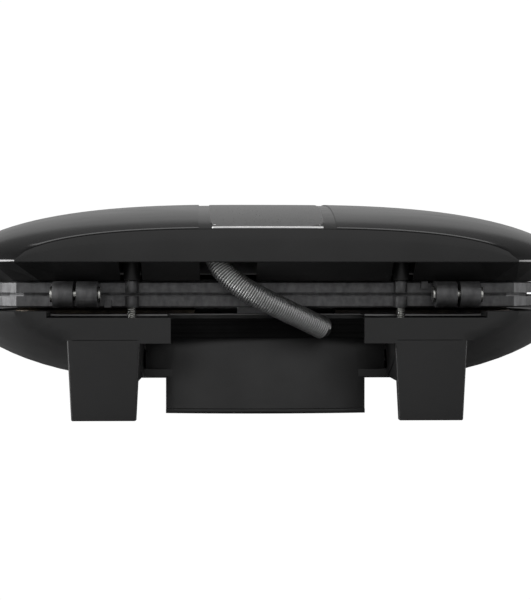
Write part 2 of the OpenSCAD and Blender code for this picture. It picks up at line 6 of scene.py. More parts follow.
import bpy
import bmesh
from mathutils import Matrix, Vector


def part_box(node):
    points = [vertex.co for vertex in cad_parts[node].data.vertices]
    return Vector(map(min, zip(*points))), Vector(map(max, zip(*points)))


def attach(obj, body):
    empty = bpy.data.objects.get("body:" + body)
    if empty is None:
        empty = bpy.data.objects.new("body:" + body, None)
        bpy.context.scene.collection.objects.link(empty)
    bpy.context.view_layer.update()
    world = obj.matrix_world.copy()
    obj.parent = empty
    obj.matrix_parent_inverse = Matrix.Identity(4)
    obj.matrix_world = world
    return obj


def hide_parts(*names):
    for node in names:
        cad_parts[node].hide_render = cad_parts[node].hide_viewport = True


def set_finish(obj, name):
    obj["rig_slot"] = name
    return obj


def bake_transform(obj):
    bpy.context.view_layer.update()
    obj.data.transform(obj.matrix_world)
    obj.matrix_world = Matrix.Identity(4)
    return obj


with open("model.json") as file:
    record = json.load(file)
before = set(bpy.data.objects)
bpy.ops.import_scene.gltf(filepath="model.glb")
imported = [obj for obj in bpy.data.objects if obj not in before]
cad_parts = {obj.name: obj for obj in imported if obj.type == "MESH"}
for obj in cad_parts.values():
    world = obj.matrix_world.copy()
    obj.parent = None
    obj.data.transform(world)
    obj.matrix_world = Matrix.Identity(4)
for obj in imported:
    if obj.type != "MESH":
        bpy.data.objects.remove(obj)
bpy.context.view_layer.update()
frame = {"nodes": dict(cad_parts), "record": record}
nodes = frame["nodes"]
MM = 0.001

# ---------- dimensions, in millimetres ----------
# Most repeat the CAD model's. The channel is shallower here, the sleeve is a little thicker, and the rear
# feet run up to FOOT_REACH_Z inside the wall.
shell_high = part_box("lid_shell")[1] / MM
HALF_W = shell_high.x
REAR_Y = shell_high.y
BEHIND_Y = 130  # cutters end here, clear of the rear wall
PLAN_Y = 21.0
HALF_D = 118.0
CORNER_POWER = 3

# the lid: its lower edge, its dome and how far that drops at the rear and the front
EDGE_Z = 58.8
CROWN_Z = 86.5
CREST_Y = 5.0
DOME_SHARE = 0.52
REAR_FALL = 0.26
FRONT_FALL = 0.2
FALL_POWER = 1.2
WALL = 2.5

# the base's bowl
RIM_Z = 40.7
BOWL_Z = 12.7
BOWL_ROUND = 60.0
BOWL_EASE = 1.25
CREASE_Z = 28.0

# the handle halves, the lid's channel, the inlay and the pilot lens
HANDLE_ROOT_Y = -88.0
HANDLE_CORNER = 12.0
HANDLE_RIM = 2.4
CHANNEL_HALF = 25.6
CHANNEL_FLARE = 3.0
CHANNEL_DEEP = 0.45
CHANNEL_FRONT_Y = -97
INLAY_HALF = 21.0
INLAY_UNDER = 0.74
LENS_Y = 2.0
LENS_R = 2.72
LENS_RIM_Z = 85.5
LENS_HOLE_R = 2.8

# notches in the base's rear wall, the rear feet and the panel between them
DEEP_NOTCH = 36.0
DEEP_FRONT_Y = 88
RECESS_FRONT_Y = 89
RECESS_TOP_Z = 28.7
NOTCH_HALF = 81.8
NOTCH_Z = 38.2
NOTCH_FRONT_Y = 100
LEDGE_REAR_Y = 106.0
FOOT_X = 60.8
FOOT_HALF = 12.0
FOOT_HALF_TOP = 13.4
FOOT_TOP_Z = 27
FOOT_REACH_Z = 30
FOOT_DEPTH = 33.0
FOOT_PLATE = 4.0
PANEL_LOW = 14.6

# screws, sleeve, and the points round an outline
LUG = (51.3, 104.0)
FRONT_SCREW = (42.0, -68.0)
SLEEVE_R = 4.4
WIRE_R = 0.45
FINE_ROUND = 288
COARSE_ROUND = 192


# ---------- mesh helpers ----------
def mesh_object(name, points, faces, smooth=True, sharp=35):
    """A new object from points in millimetres, shaded smooth except over sharp edges."""
    mesh = bpy.data.meshes.new(name)
    mesh.from_pydata([[c * MM for c in p] for p in points], [], faces)
    mesh.validate()
    build = bmesh.new()
    build.from_mesh(mesh)
    bmesh.ops.recalc_face_normals(build, faces=build.faces)
    build.to_mesh(mesh)
    build.free()
    piece = bpy.data.objects.new(name, mesh)
    bpy.context.scene.collection.objects.link(piece)
    if smooth:
        smooth_by_angle(piece, sharp)
    return piece


def smooth_by_angle(piece, degrees):
    """Smooth shading, with the edges sharper than the angle kept crisp."""
    mesh = piece.data
    mesh.shade_smooth()
    mesh.set_sharp_from_angle(angle=math.radians(degrees))


def skin(sections, closed=False):
    """Points and faces through sections of equal count; open ends get a fan."""
    n = len(sections[0])
    points = [p for ring in sections for p in ring]
    pairs = range(len(sections) if closed else len(sections) - 1)
    faces = []
    for k in pairs:
        q = (k + 1) % len(sections)
        for i in range(n):
            j = (i + 1) % n
            faces.append((k * n + i, k * n + j, q * n + j, q * n + i))
    if not closed:
        for ring, start in ((sections[0], 0), (sections[-1], (len(sections) - 1) * n)):
            middle = len(points)
            points.append([sum(p[c] for p in ring) / n for c in range(3)])
            faces += [(middle, start + i, start + (i + 1) % n) for i in range(n)]
    return points, faces


def apply_modifiers(piece):
    """Bakes the piece's modifiers into its mesh."""
    deps = bpy.context.evaluated_depsgraph_get()
    made = bpy.data.meshes.new_from_object(piece.evaluated_get(deps))
    piece.modifiers.clear()
    piece.data = made


def boolean(piece, other, operation):
    """Adds or cuts another solid, then drops that solid."""
    step = piece.modifiers.new("boolean", "BOOLEAN")
    step.object = other
    step.operation = operation
    step.solver = "EXACT"
    apply_modifiers(piece)
    bpy.data.objects.remove(other)


def bevel(piece, width, segments=2, angle=35):
    """Rounds the piece's sharp edges a little, as a moulding or casting has them."""
    weld = piece.modifiers.new("weld", "WELD")
    weld.merge_threshold = 1e-6
    step = piece.modifiers.new("bevel", "BEVEL")
    step.width = width * MM
    step.segments = segments
    step.limit_method = "ANGLE"
    step.angle_limit = math.radians(angle)
    step.harden_normals = True


def block(name, low, high):
    """A plain block, used only to cut another piece."""
    x, y, z = ([low[c], high[c]] for c in range(3))
    points = [(x[i & 1], y[i >> 1 & 1], z[i >> 2]) for i in range(8)]
    faces = [(0, 2, 3, 1), (4, 5, 7, 6), (0, 1, 5, 4), (2, 6, 7, 3), (0, 4, 6, 2), (1, 3, 7, 5)]
    return mesh_object(name, points, faces, smooth=False)


def prism(name, outline, low, high):
    """A level outline, extruded upwards."""
    sections = [[(x, y, z) for x, y in outline] for z in (low, high)]
    return mesh_object(name, *skin(sections), smooth=False)


def arc(cx, cy, r, start, end, steps):
    """Points on an arc, in degrees."""
    turns = [math.radians(start + (end - start) * k / steps) for k in range(steps + 1)]
    return [(cx + r * math.cos(t), cy + r * math.sin(t)) for t in turns]


def circle(cx, cy, r):
    """48 points round a whole circle."""
    return arc(cx, cy, r, 0, 352.5, 47)


def turned(name, x, y, rows):
    """A round solid about an upright axis, from radius and height pairs."""
    return mesh_object(name, *skin([[(px, py, z) for px, py in circle(x, y, r)] for r, z in rows]))


# ---------- the outline and the dome ----------
def edge_radius(t, inset=0.0):
    """Distance from the plan's centre to the full outline, in direction t."""
    c = abs(math.cos(t)) / (HALF_W - inset)
    s = abs(math.sin(t)) / (HALF_D - inset)
    return (c**CORNER_POWER + s**CORNER_POWER) ** (-1 / CORNER_POWER)


def cut_radius(t, inset, rear):
    """The same, with everything behind the rear plane taken off."""
    r = edge_radius(t, inset)
    return min(r, (rear - PLAN_Y) / math.sin(t)) if math.sin(t) > 0.05 else r


def fall(y):
    """Share of the dome's height that is left at y."""
    if y > CREST_Y:
        return 1 - REAR_FALL * ((y - CREST_Y) / (REAR_Y - CREST_Y)) ** FALL_POWER
    return 1 - FRONT_FALL * ((CREST_Y - y) / (CREST_Y - PLAN_Y + HALF_D)) ** FALL_POWER


def dome_z(x, y, drop=0.0, inset=0.0):
    """Height of the dome over a point of the plan."""
    across = (abs(x) / (HALF_W - inset)) ** CORNER_POWER
    along = (abs(y - PLAN_Y) / (HALF_D - inset)) ** CORNER_POWER
    return EDGE_Z + (CROWN_Z - EDGE_Z - drop) * fall(y) * max(0.0, 1 - (across + along)) ** DOME_SHARE


def plan_angles(count, rear):
    """Angles round the plan, evenly spaced but with the rear corners hit exactly."""
    corner_x = HALF_W * (1 - ((rear - PLAN_Y) / HALF_D) ** CORNER_POWER) ** (1 / CORNER_POWER)
    corner = math.atan2(rear - PLAN_Y, corner_x)
    rear_count = count // 4
    side_count = count - rear_count
    angles = [corner + (math.pi - 2 * corner) * k / rear_count for k in range(rear_count)]
    angles += [math.pi - corner + (math.pi + 2 * corner) * k / side_count for k in range(side_count)]
    return angles


def plan_ring(inset, z, rear=None):
    """A level ring of the outline, cut off at a rear plane if one is given."""
    ring = []
    for t in plan_angles(COARSE_ROUND, REAR_Y):
        r = edge_radius(t, inset) if rear is None else cut_radius(t, inset, rear)
        ring.append((r * math.cos(t), PLAN_Y + r * math.sin(t), z))
    return ring


def channel_half(y, half=CHANNEL_HALF):
    """Half the width of the channel, which flares towards the handle."""
    return half + CHANNEL_FLARE * (max(0.0, REAR_Y - y) / (REAR_Y - CHANNEL_FRONT_Y)) ** 0.7


# ---------- the lid ----------
def lid_dome_sections(count):
    """Sections of the lid's outside, from its lower edge up over the rounded arch to the crown."""
    fillet, lift = 1.3, 0.3
    shares = [1 - (1 - k / 26) ** 1.7 for k in range(1, 27)]
    columns = []
    for t in plan_angles(count, REAR_Y):
        full = cut_radius(t, 0, REAR_Y)
        c, s = math.cos(t), math.sin(t)
        arch = max(dome_z(full * c, PLAN_Y + full * s), EDGE_Z + 0.9)
        r = min(fillet, max(0.14, (arch - EDGE_Z) * 0.22))
        column = [(full - 0.25, EDGE_Z), (full, EDGE_Z + lift)]
        column += [(full, EDGE_Z + lift + (arch - r - EDGE_Z - lift) * k / 3) for k in (1, 2, 3)]
        inner = full - r
        inner_z = dome_z(inner * c, PLAN_Y + inner * s)
        for k in range(1, 6):
            u = k / 6
            column.append((full * (1 - u * u) + inner * u * u,
                           (arch - r) * (1 - u) ** 2 + arch * 2 * u * (1 - u) + inner_z * u * u))
        for share in reversed(shares):
            reach = inner * share
            column.append((reach, dome_z(reach * c, PLAN_Y + reach * s)))
        columns.append([(reach * c, PLAN_Y + reach * s, z) for reach, z in column])
    return [list(section) for section in zip(*columns)]


def lid_inside_sections(count):
    """Sections of the lid's inside, from the crown down to its lower edge."""
    sections = []
    for share in (0.1, 0.3, 0.5, 0.65, 0.76, 0.84, 0.9, 0.94, 0.97, 0.985, 0.994, 1.0):
        ring = []
        for t in plan_angles(count, REAR_Y):
            reach = cut_radius(t, WALL, REAR_Y - WALL) * share
            x, y = reach * math.cos(t), PLAN_Y + reach * math.sin(t)
            z = dome_z(x, y, WALL, WALL) if share < 1 else EDGE_Z + 0.05
            ring.append((x, y, z))
        sections.append(ring)
    return sections


def dome_strip(name, half, front, rear, top, low, columns=16, rows=60, round_corner=0.0):
    """A slab that follows the dome along the channel, between two depths below it."""
    sections = []
    for k in range(rows + 1):
        y = front + (rear - front) * k / rows
        wide = channel_half(y, half)
        near = min(1.0, max(0.0, (rear - y) / round_corner)) if round_corner else 1.0
        wide -= round_corner * (1 - math.sqrt(max(0.0, 1 - (1 - near) ** 2)))
        across = [wide * (2 * i / columns - 1) for i in range(columns + 1)]
        upper = [(x, y, dome_z(x, y) - top) for x in across]
        lower = [(x, y, dome_z(x, y) - low) for x in reversed(across)]
        sections.append(upper + lower)
    return mesh_object(name, *skin(sections), sharp=30)


def handle_tongue(name, half, low, high, tip):
    """One half of the front handle: a tongue with rounded corners and rounded edges."""
    quarter = [math.radians(6 * k) for k in range(16)]
    edge = [math.radians(18 * k) for k in range(6)]

    def outline(inset):
        root, r = half - inset, HANDLE_CORNER
        x, y = 0.88 * half - r, tip + r
        return ([(root, HANDLE_ROOT_Y), (-root, HANDLE_ROOT_Y)]
                + [(-x - (r - inset) * math.cos(a), y - (r - inset) * math.sin(a)) for a in quarter]
                + [(x + (r - inset) * math.sin(a), y - (r - inset) * math.cos(a)) for a in quarter])

    levels = [(low + HANDLE_RIM * (1 - math.sin(a)), a) for a in reversed(edge)]
    levels += [(high - HANDLE_RIM * (1 - math.sin(a)), a) for a in edge]
    sections = [[(x, y, z) for x, y in outline(HANDLE_RIM * (1 - math.cos(a)))] for z, a in levels]
    return mesh_object(name, *skin(sections))


def make_lid():
    """The glossy lid with its channel, its handle half, the latch's slot and the lens hole."""
    lid = mesh_object("lid_cover", *skin(lid_inside_sections(FINE_ROUND) + lid_dome_sections(FINE_ROUND)))
    boolean(lid, handle_tongue("handle", half=33, low=EDGE_Z, high=68, tip=-112.5), "UNION")
    channel = dome_strip("channel", CHANNEL_HALF, front=-99, rear=REAR_Y + 1, top=-9, low=CHANNEL_DEEP,
                         columns=24, rows=90)
    boolean(lid, channel, "DIFFERENCE")
    boolean(lid, block("latch_slot", (-11, -116, 50), (11, -102.5, 80)), "DIFFERENCE")
    boolean(lid, prism("lens_hole", circle(0, LENS_Y, LENS_HOLE_R), 70, 100), "DIFFERENCE")
    smooth_by_angle(lid, 28)
    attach(lid, "lid")
    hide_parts("lid_shell")
    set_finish(lid, "gloss_lid")
    return lid


def make_lid_bosses():
    """The two screw posts that come down onto the upper plate's lugs."""
    bosses = []
    for side in (-1, 1):
        x, y = side * LUG[0], LUG[1]
        top = dome_z(x, y, WALL, WALL) + 0.6
        bosses.append(turned("boss", x, y, [(2.9, 52.0), (3.1, 52.3), (3.1, 60.0), (3.4, top)]))
    boss = bosses[0]
    boolean(boss, bosses[1], "UNION")
    boss.name = "lid_posts"
    smooth_by_angle(boss, 30)
    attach(boss, "lid")
    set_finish(boss, "dark_inner")
    return boss


# ---------- the base ----------
def bowl_rear(z):
    """Rear plane of the bowl at a height: flat above the crease, curving in below it."""
    if z >= CREASE_Z:
        return REAR_Y
    return REAR_Y / 2 * (1 + math.sqrt(max(0.0, 1 - ((CREASE_Z - z) / (CREASE_Z - BOWL_Z)) ** 2)))


def bowl_ring(turn, skin_t, count):
    """One level section of the bowl, at a turn of its rounded side."""
    a = math.radians(turn)
    z = RIM_Z - (RIM_Z - BOWL_Z) * math.sin(a) ** BOWL_EASE
    inset = BOWL_ROUND * (1 - max(0.0, math.cos(a)) ** BOWL_EASE) + skin_t
    rear = bowl_rear(z) - skin_t
    high = z + skin_t * math.sin(a)
    radii = [(t, cut_radius(t, inset, rear)) for t in plan_angles(count, REAR_Y)]
    return [(r * math.cos(t), PLAN_Y + r * math.sin(t), high) for t, r in radii]


def foot(name, inset, rows):
    """A tall rear foot from height and depth pairs, wider towards the bowl, with rounded upright edges."""
    sections = []
    for z, depth in rows:
        half = FOOT_HALF + (FOOT_HALF_TOP - FOOT_HALF) * z / FOOT_TOP_Z - inset
        front, rear = REAR_Y - depth + inset, REAR_Y - inset
        r = 0.9
        give = 0.35 if z == 0 else 0.0
        corners = [(half - r, rear - r, 0), (-half + r, rear - r, 90), (-half + r, front + r, 180),
                   (half - r, front + r, 270)]
        ring = [p for cx, cy, start in corners
                for p in arc(FOOT_X + cx, cy, r - give, start, start + 90, 4)]
        sections.append([(x, y, z) for x, y in ring])
    return mesh_object(name, *skin(sections))


def mirrored(piece):
    """A copy of the piece, mirrored left to right."""
    copy = bpy.data.objects.new(piece.name + "_mirror", piece.data.copy())
    bpy.context.scene.collection.objects.link(copy)
    for vertex in copy.data.vertices:
        vertex.co.x = -vertex.co.x
    copy.data.flip_normals()
    return copy


def cut_both_sides(piece, cutter):
    """Cuts a piece with a solid and with its mirror image."""
    other = mirrored(cutter)
    boolean(piece, cutter, "DIFFERENCE")
    boolean(piece, other, "DIFFERENCE")


def make_base():
    """The base: bowl, flat rear wall with its notches, tall rear feet and handle half."""
    count = FINE_ROUND
    turns = [90, 84, 78, 71, 64, 57, 50, 44, 38, 33, 28, 23, 18, 13, 8, 4]
    outer = [bowl_ring(t, 0, count) for t in turns]
    lip = [[(x, y, RIM_Z - 0.25) for x, y, _ in bowl_ring(0, 0.0, count)],
           [(x, y, RIM_Z) for x, y, _ in bowl_ring(0, 0.35, count)]]
    inner = [[(x, y, RIM_Z) for x, y, _ in bowl_ring(0, WALL - 0.3, count)]]
    inner += [bowl_ring(t, WALL, count) for t in (4, 8, 16, 27, 40, 54, 70, 90)]
    base = mesh_object("base_cover", *skin(outer + lip + inner))
    inner_foot = FOOT_X - FOOT_HALF_TOP
    for name, half, front, low, high in (("deep", DEEP_NOTCH, DEEP_FRONT_Y, -1, 60),
                                         ("recess", inner_foot, RECESS_FRONT_Y, -1, RECESS_TOP_Z),
                                         ("notch", NOTCH_HALF, NOTCH_FRONT_Y, NOTCH_Z, 50)):
        boolean(base, block(name, (-half, front, low), (half, BEHIND_Y, high)), "DIFFERENCE")
    rows = [(z, FOOT_PLATE) for z in (0, 0.3, 7, PANEL_LOW)]
    rows += [(z, FOOT_DEPTH) for z in (PANEL_LOW, 20, FOOT_REACH_Z)]
    left_foot = foot("foot", 0, rows)
    right_foot = mirrored(left_foot)
    boolean(base, left_foot, "UNION")
    boolean(base, right_foot, "UNION")
    cut_both_sides(base, foot("foot_space", WALL, [(PANEL_LOW + WALL, FOOT_DEPTH), (34, FOOT_DEPTH)]))
    boolean(base, handle_tongue("handle", half=30, low=28.3, high=RIM_Z - 0.8, tip=-110), "UNION")
    boolean(base, block("catch", (-12, -111, 20), (12, -105, 33.4)), "DIFFERENCE")
    smooth_by_angle(base, 28)
    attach(base, "base")
    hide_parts("base_shell")
    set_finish(base, "black_shell")
    return base


def make_base_rim():
    """The ledge inside the base's edge, under the lower plate, open behind the notches."""
    top = RIM_Z - 0.4
    under = top - 1.8
    outer, inner = (1.0, REAR_Y - 1), (13.0, LEDGE_REAR_Y)
    rings = [plan_ring(inset, z, rear)
             for (inset, rear), z in ((outer, top), (inner, top), (inner, under), (outer, under))]
    rim = mesh_object("base_ledge", *skin(rings, closed=True))
    boolean(rim, block("gap", (-NOTCH_HALF, 90, 0), (NOTCH_HALF, BEHIND_Y, 60)), "DIFFERENCE")
    bevel(rim, 0.25)
    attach(rim, "base")
    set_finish(rim, "black_shell")
    return rim


def post(name, x, y, rows, body, slot):
    """A turned piece, with its body and its slot."""
    piece = turned(name, x, y, rows)
    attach(piece, body)
    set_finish(piece, slot)
    return piece


def make_base_posts():
    """Front feet, screw posts under the lower plate's lugs, and the front screw posts."""
    pieces = []
    for side, word in ((-1, "left"), (1, "right")):
        pieces.append(post("front_foot_" + word, side * 80, -48,
                           [(8.6, 1.5), (9, 1.9), (9, 24)], "base", "black_shell"))
        pieces.append(post("lug_post_" + word, side * LUG[0], LUG[1],
                           [(3.4, 22), (3.2, 24), (3.2, 35.6), (2.9, 36)], "base", "dark_inner"))
        pieces.append(post("front_post_" + word, side * FRONT_SCREW[0], FRONT_SCREW[1],
                           [(3.9, 18), (3.5, 20), (3.5, 41.1), (3.2, 41.4)], "base", "dark_inner"))
    return pieces


# ---------- the spring sleeve and its wires ----------
SLEEVE_RUN = [Vector(p) for p in ((20, 107.5, 63.5), (18, 113.5, 49.8), (-3, 113, 43.4), (-22, 99.5, 33.6))]


def sleeve_point(t):
    """A point on the lead's curve, from its lid end at 0 to its base end at 1."""
    a, b, c, d = SLEEVE_RUN
    return a * (1 - t) ** 3 + b * 3 * t * (1 - t) ** 2 + c * 3 * t * t * (1 - t) + d * t**3


def carried_frames(path):
    """Along a path: each point with two cross directions that don't twist."""
    across = Vector((0, 1, 0))
    frames = []
    for k, point in enumerate(path):
        run = (path[min(k + 1, len(path) - 1)] - path[max(k - 1, 0)]).normalized()
        across = (across - run * across.dot(run)).normalized()
        frames.append((point, across, run.cross(across)))
    return frames


def tube(name, path, r, sides=12):
    """A round tube swept along a path."""
    sections = []
    for point, u, v in carried_frames(path):
        turns = [2 * math.pi * i / sides for i in range(sides)]
        sections.append([tuple(point + r * (math.cos(a) * u + math.sin(a) * v)) for a in turns])
    return mesh_object(name, *skin(sections), sharp=60)


def even_path(count):
    """The sleeve's run cut into equal lengths, and its whole length."""
    fine = [sleeve_point(k / 600) for k in range(601)]
    reach = [0.0]
    for a, b in zip(fine, fine[1:]):
        reach.append(reach[-1] + (b - a).length)
    path, k = [], 0
    for i in range(count + 1):
        want = reach[-1] * i / count
        while k < 599 and reach[k + 1] < want:
            k += 1
        share = (want - reach[k]) / (reach[k + 1] - reach[k])
        path.append(fine[k].lerp(fine[k + 1], min(1.0, share)))
    return path, reach[-1]


def bend_with_lid(piece):
    """Bakes the piece's placement into its mesh; the piece is attached to neither the base nor the lid."""
    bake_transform(piece)


def make_sleeve():
    """Close-wound round wire, one continuous helix along the lead's run."""
    per_turn = 18
    length = even_path(10)[1]
    turns = round(length / (2 * WIRE_R))
    path = even_path(turns * per_turn)[0]
    centre = []
    for k, (point, u, v) in enumerate(carried_frames(path)):
        a = 2 * math.pi * k / per_turn
        centre.append(point + (SLEEVE_R - WIRE_R) * (math.cos(a) * u + math.sin(a) * v))
    coil = tube("lead_spring", centre, WIRE_R, 7)
    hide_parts("spring_sleeve")
    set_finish(coil, "spring_steel")
    bend_with_lid(coil)
    wires = tube("lead_core", even_path(60)[0], 2.6, 20)
    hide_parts("link_wires")
    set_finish(wires, "wire_sheath")
    bend_with_lid(wires)
    return coil, wires


# ---------- screws ----------
def threaded(name, x, y, low, high, body, node):
    """A screw's shank with its thread cut as a helix."""
    pitch, around = 0.8, 20
    core, crest = 1.42, 0.33
    sections = []
    rings = round((high - low) / pitch * 8)
    for k in range(rings + 1):
        z = low + (high - low) * k / rings
        ring = []
        for i in range(around):
            phase = (z / pitch + i / around) % 1.0
            r = core + crest * (1 - abs(2 * phase - 1)) ** 0.8
            a = 2 * math.pi * i / around
            ring.append((x + r * math.cos(a), y + r * math.sin(a), z))
        sections.append(ring)
    piece = mesh_object(name, *skin(sections), sharp=70)
    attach(piece, body)
    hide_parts(node)
    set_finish(piece, "zinc_screw")
    return piece


def make_screws():
    """The plate screws at the rear lugs and at the front posts, below and above."""
    pieces = []
    for side, word in ((-1, "left"), (1, "right")):
        rear = (side * LUG[0], LUG[1])
        front = (side * FRONT_SCREW[0], FRONT_SCREW[1])
        for (x, y), place in ((rear, "rear"), (front, "front")):
            pieces.append(threaded("base_screw_%s_%s" % (place, word), x, y, 30, 44.4, "base",
                                   "lower_plate_screws"))
            pieces.append(threaded("lid_screw_%s_%s" % (place, word), x, y, 49.2, 63, "lid",
                                   "upper_plate_screws"))
    return pieces


# ---------- inlay and lens ----------
def make_inlay():
    """The brushed inlay with a lens hole, and the bright strip along its rear edge."""
    inlay = dome_strip("inlay", INLAY_HALF, front=-70, rear=117.2, top=0.12, low=INLAY_UNDER,
                       columns=30, rows=110, round_corner=6.0)
    boolean(inlay, prism("hole", circle(0, LENS_Y, LENS_HOLE_R), 70, 100), "DIFFERENCE")
    smooth_by_angle(inlay, 30)
    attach(inlay, "lid")
    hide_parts("inlay_plate")
    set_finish(inlay, "inlay_steel")
    trim = dome_strip("inlay_edge", INLAY_HALF - 0.4, front=117.3, rear=118.9, top=0.0, low=INLAY_UNDER,
                      columns=24, rows=6)
    bevel(trim, 0.25, 3)
    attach(trim, "lid")
    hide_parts("inlay_trim")
    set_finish(trim, "chrome_trim")
    return inlay, trim


def make_lens():
    """The pilot lens: a low dome on a short barrel."""
    rows = [(4.0, 81.0), (4.0, 82.2), (LENS_R, 82.2), (LENS_R, LENS_RIM_Z)]
    for a in range(10, 90, 10):
        turn = math.radians(a)
        rows.append((LENS_R * math.cos(turn), LENS_RIM_Z + 0.95 * math.sin(turn)))
    lens = post("pilot_window", 0, LENS_Y, rows, "lid", "lens_red")
    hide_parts("pilot_lens")
    return lens


def make_side_bead():
    """A low ring on the lower plate, at its sides and front, that hides the gap under the upper plate.
    It is here for the look alone, and no CAD node matches it."""
    outer, inner, low, high = 12.7, 14.4, 45.9, 46.72
    rings = [plan_ring(inset, z) for inset, z in ((outer, low), (outer, high), (inner, high), (inner, low))]
    bead = mesh_object("plate_edge_bead", *skin(rings, closed=True))
    boolean(bead, block("open_rear", (-130, 72, 40), (130, 150, 50)), "DIFFERENCE")
    smooth_by_angle(bead, 35)
    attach(bead, "base")
    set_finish(bead, "cast_plate")
    return bead


# ---------- materials ----------
def new_material(name, colour, roughness, metallic=0.0, specular=0.5, coat=0.0, coat_rough=0.05):
    """A principled material; what is constant over the surface is set on the shader's own sockets."""
    material = bpy.data.materials.new(name)
    material.use_nodes = True
    shader = material.node_tree.nodes["Principled BSDF"]
    shader.inputs["Base Color"].default_value = (*colour, 1)
    shader.inputs["Roughness"].default_value = roughness
    shader.inputs["Metallic"].default_value = metallic
    shader.inputs["Specular IOR Level"].default_value = specular
    shader.inputs["Coat Weight"].default_value = coat
    shader.inputs["Coat Roughness"].default_value = coat_rough
    return material, material.node_tree, shader


def noise(tree, scale, detail=3.0, stretch=(1, 1, 1)):
    """A noise in the model's own coordinates, stretched along its axes."""
    place = tree.nodes.new("ShaderNodeTexCoord")
    spread = tree.nodes.new("ShaderNodeMapping")
    spread.inputs["Scale"].default_value = stretch
    grain = tree.nodes.new("ShaderNodeTexNoise")
    grain.inputs["Scale"].default_value = scale
    grain.inputs["Detail"].default_value = detail
    tree.links.new(place.outputs["Object"], spread.inputs["Vector"])
    tree.links.new(spread.outputs["Vector"], grain.inputs["Vector"])
    return grain.outputs["Fac"]


def spread_values(tree, value, low, high):
    """Maps a noise to a range."""
    step = tree.nodes.new("ShaderNodeMapRange")
    step.inputs["From Min"].default_value = 0.3
    step.inputs["From Max"].default_value = 0.7
    step.inputs["To Min"].default_value = low
    step.inputs["To Max"].default_value = high
    tree.links.new(value, step.inputs["Value"])
    return step.outputs["Result"]


def tint(tree, shader, value, dark, light):
    """Colour varied between two tones by a noise."""
    ramp = tree.nodes.new("ShaderNodeValToRGB")
    ramp.color_ramp.elements[0].position = 0.3
    ramp.color_ramp.elements[0].color = (*dark, 1)
    ramp.color_ramp.elements[1].position = 0.7
    ramp.color_ramp.elements[1].color = (*light, 1)
    tree.links.new(value, ramp.inputs["Fac"])
    tree.links.new(ramp.outputs["Color"], shader.inputs["Base Color"])


def bump(tree, shader, value, strength, depth):
    """Fine relief, its depth in metres."""
    relief = tree.nodes.new("ShaderNodeBump")
    relief.inputs["Strength"].default_value = strength
    relief.inputs["Distance"].default_value = depth
    tree.links.new(value, relief.inputs["Height"])
    tree.links.new(relief.outputs["Normal"], shader.inputs["Normal"])


def grey(value):
    """A neutral tone, a touch cool."""
    return (value, value, value * 1.02)


def moulded(name, tone, low, high, grain=0.00002, specular=0.5):
    """Moulded plastic: a slight tone change, patchy gloss and a fine spark-eroded grain."""
    material, tree, shader = new_material(name, grey(tone), (low + high) / 2, specular=specular)
    tint(tree, shader, noise(tree, 35, 2), grey(tone * 0.93), grey(tone * 1.07))
    tree.links.new(spread_values(tree, noise(tree, 60, 4), low, high), shader.inputs["Roughness"])
    bump(tree, shader, noise(tree, 3200, 2), 0.35, grain)
    return material


def polished(name, tone, rough):
    """Polished plastic: a deep black with very faint smears in its gloss."""
    material, tree, shader = new_material(name, grey(tone), rough, specular=0.5)
    tint(tree, shader, noise(tree, 20, 2), grey(tone * 0.9), grey(tone * 1.1))
    tree.links.new(spread_values(tree, noise(tree, 45, 5, (1, 3, 1)), rough * 0.8, rough * 1.25),
                   shader.inputs["Roughness"])
    bump(tree, shader, noise(tree, 9, 1), 0.2, 0.00008)
    return material


def cast(name, dark, light, metallic, low, high):
    """Die-cast metal: a mottled skin with a sandy relief."""
    material, tree, shader = new_material(name, grey(light), (low + high) / 2, metallic=metallic)
    tint(tree, shader, noise(tree, 420, 6, (1, 1, 0.5)), grey(dark), grey(light))
    tree.links.new(spread_values(tree, noise(tree, 900, 5), low, high), shader.inputs["Roughness"])
    bump(tree, shader, noise(tree, 1500, 6), 0.6, 0.00009)
    return material


def metal(name, tone, low, high, stretch=(1, 1, 1), scale=900.0, relief=0.00001):
    """Bare metal with a grain that runs where the stretch is least."""
    material, tree, shader = new_material(name, tone, (low + high) / 2, metallic=1.0)
    lines = noise(tree, scale, 4, stretch)
    tint(tree, shader, lines, [c * 0.86 for c in tone], [min(1.0, c * 1.1) for c in tone])
    tree.links.new(spread_values(tree, lines, low, high), shader.inputs["Roughness"])
    bump(tree, shader, lines, 0.4, relief)
    return material


def heated(name):
    """An element's steel sheath, straw and blue where it has been hot."""
    material, tree, shader = new_material(name, (0.3, 0.27, 0.24), 0.4, metallic=1.0)
    tint(tree, shader, noise(tree, 60, 4), (0.16, 0.15, 0.17), (0.42, 0.35, 0.26))
    tree.links.new(spread_values(tree, noise(tree, 500, 3), 0.3, 0.5), shader.inputs["Roughness"])
    return material


def lens_material(name):
    """Dark red moulded lens with a clear gloss."""
    material, tree, shader = new_material(name, (0.05, 0.006, 0.005), 0.12, coat=0.6)
    tint(tree, shader, noise(tree, 300, 2), (0.035, 0.004, 0.004), (0.07, 0.008, 0.006))
    return material


